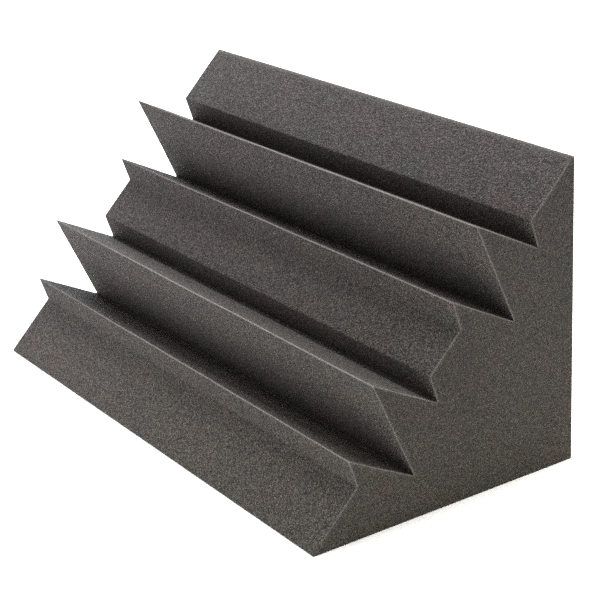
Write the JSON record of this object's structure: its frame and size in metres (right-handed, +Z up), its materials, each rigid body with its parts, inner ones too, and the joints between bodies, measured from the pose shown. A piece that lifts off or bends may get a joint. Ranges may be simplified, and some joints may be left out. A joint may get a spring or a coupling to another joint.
{
  "type": "corner bass trap",
  "caption": "Triangular open-cell foam block for the corner of a room, with a zig-zag face of tall and low sharp fins and V-shaped grooves along its length.",
  "frame": {"origin": "on the floor under the middle of the block's bounding box, as it lies on one wall face", "axes": "+X along the block's length, +Y square to the upright wall face, pointing out of it towards the wall, +Z up, square to the wall face that the block lies on"},
  "size_m": [0.6096, 0.3048, 0.3048],
  "materials": {
    "charcoal_foam": "matte"
  },
  "bodies": {
    "root": {"foam_block": "charcoal_foam"}
  },
  "joints": []
}
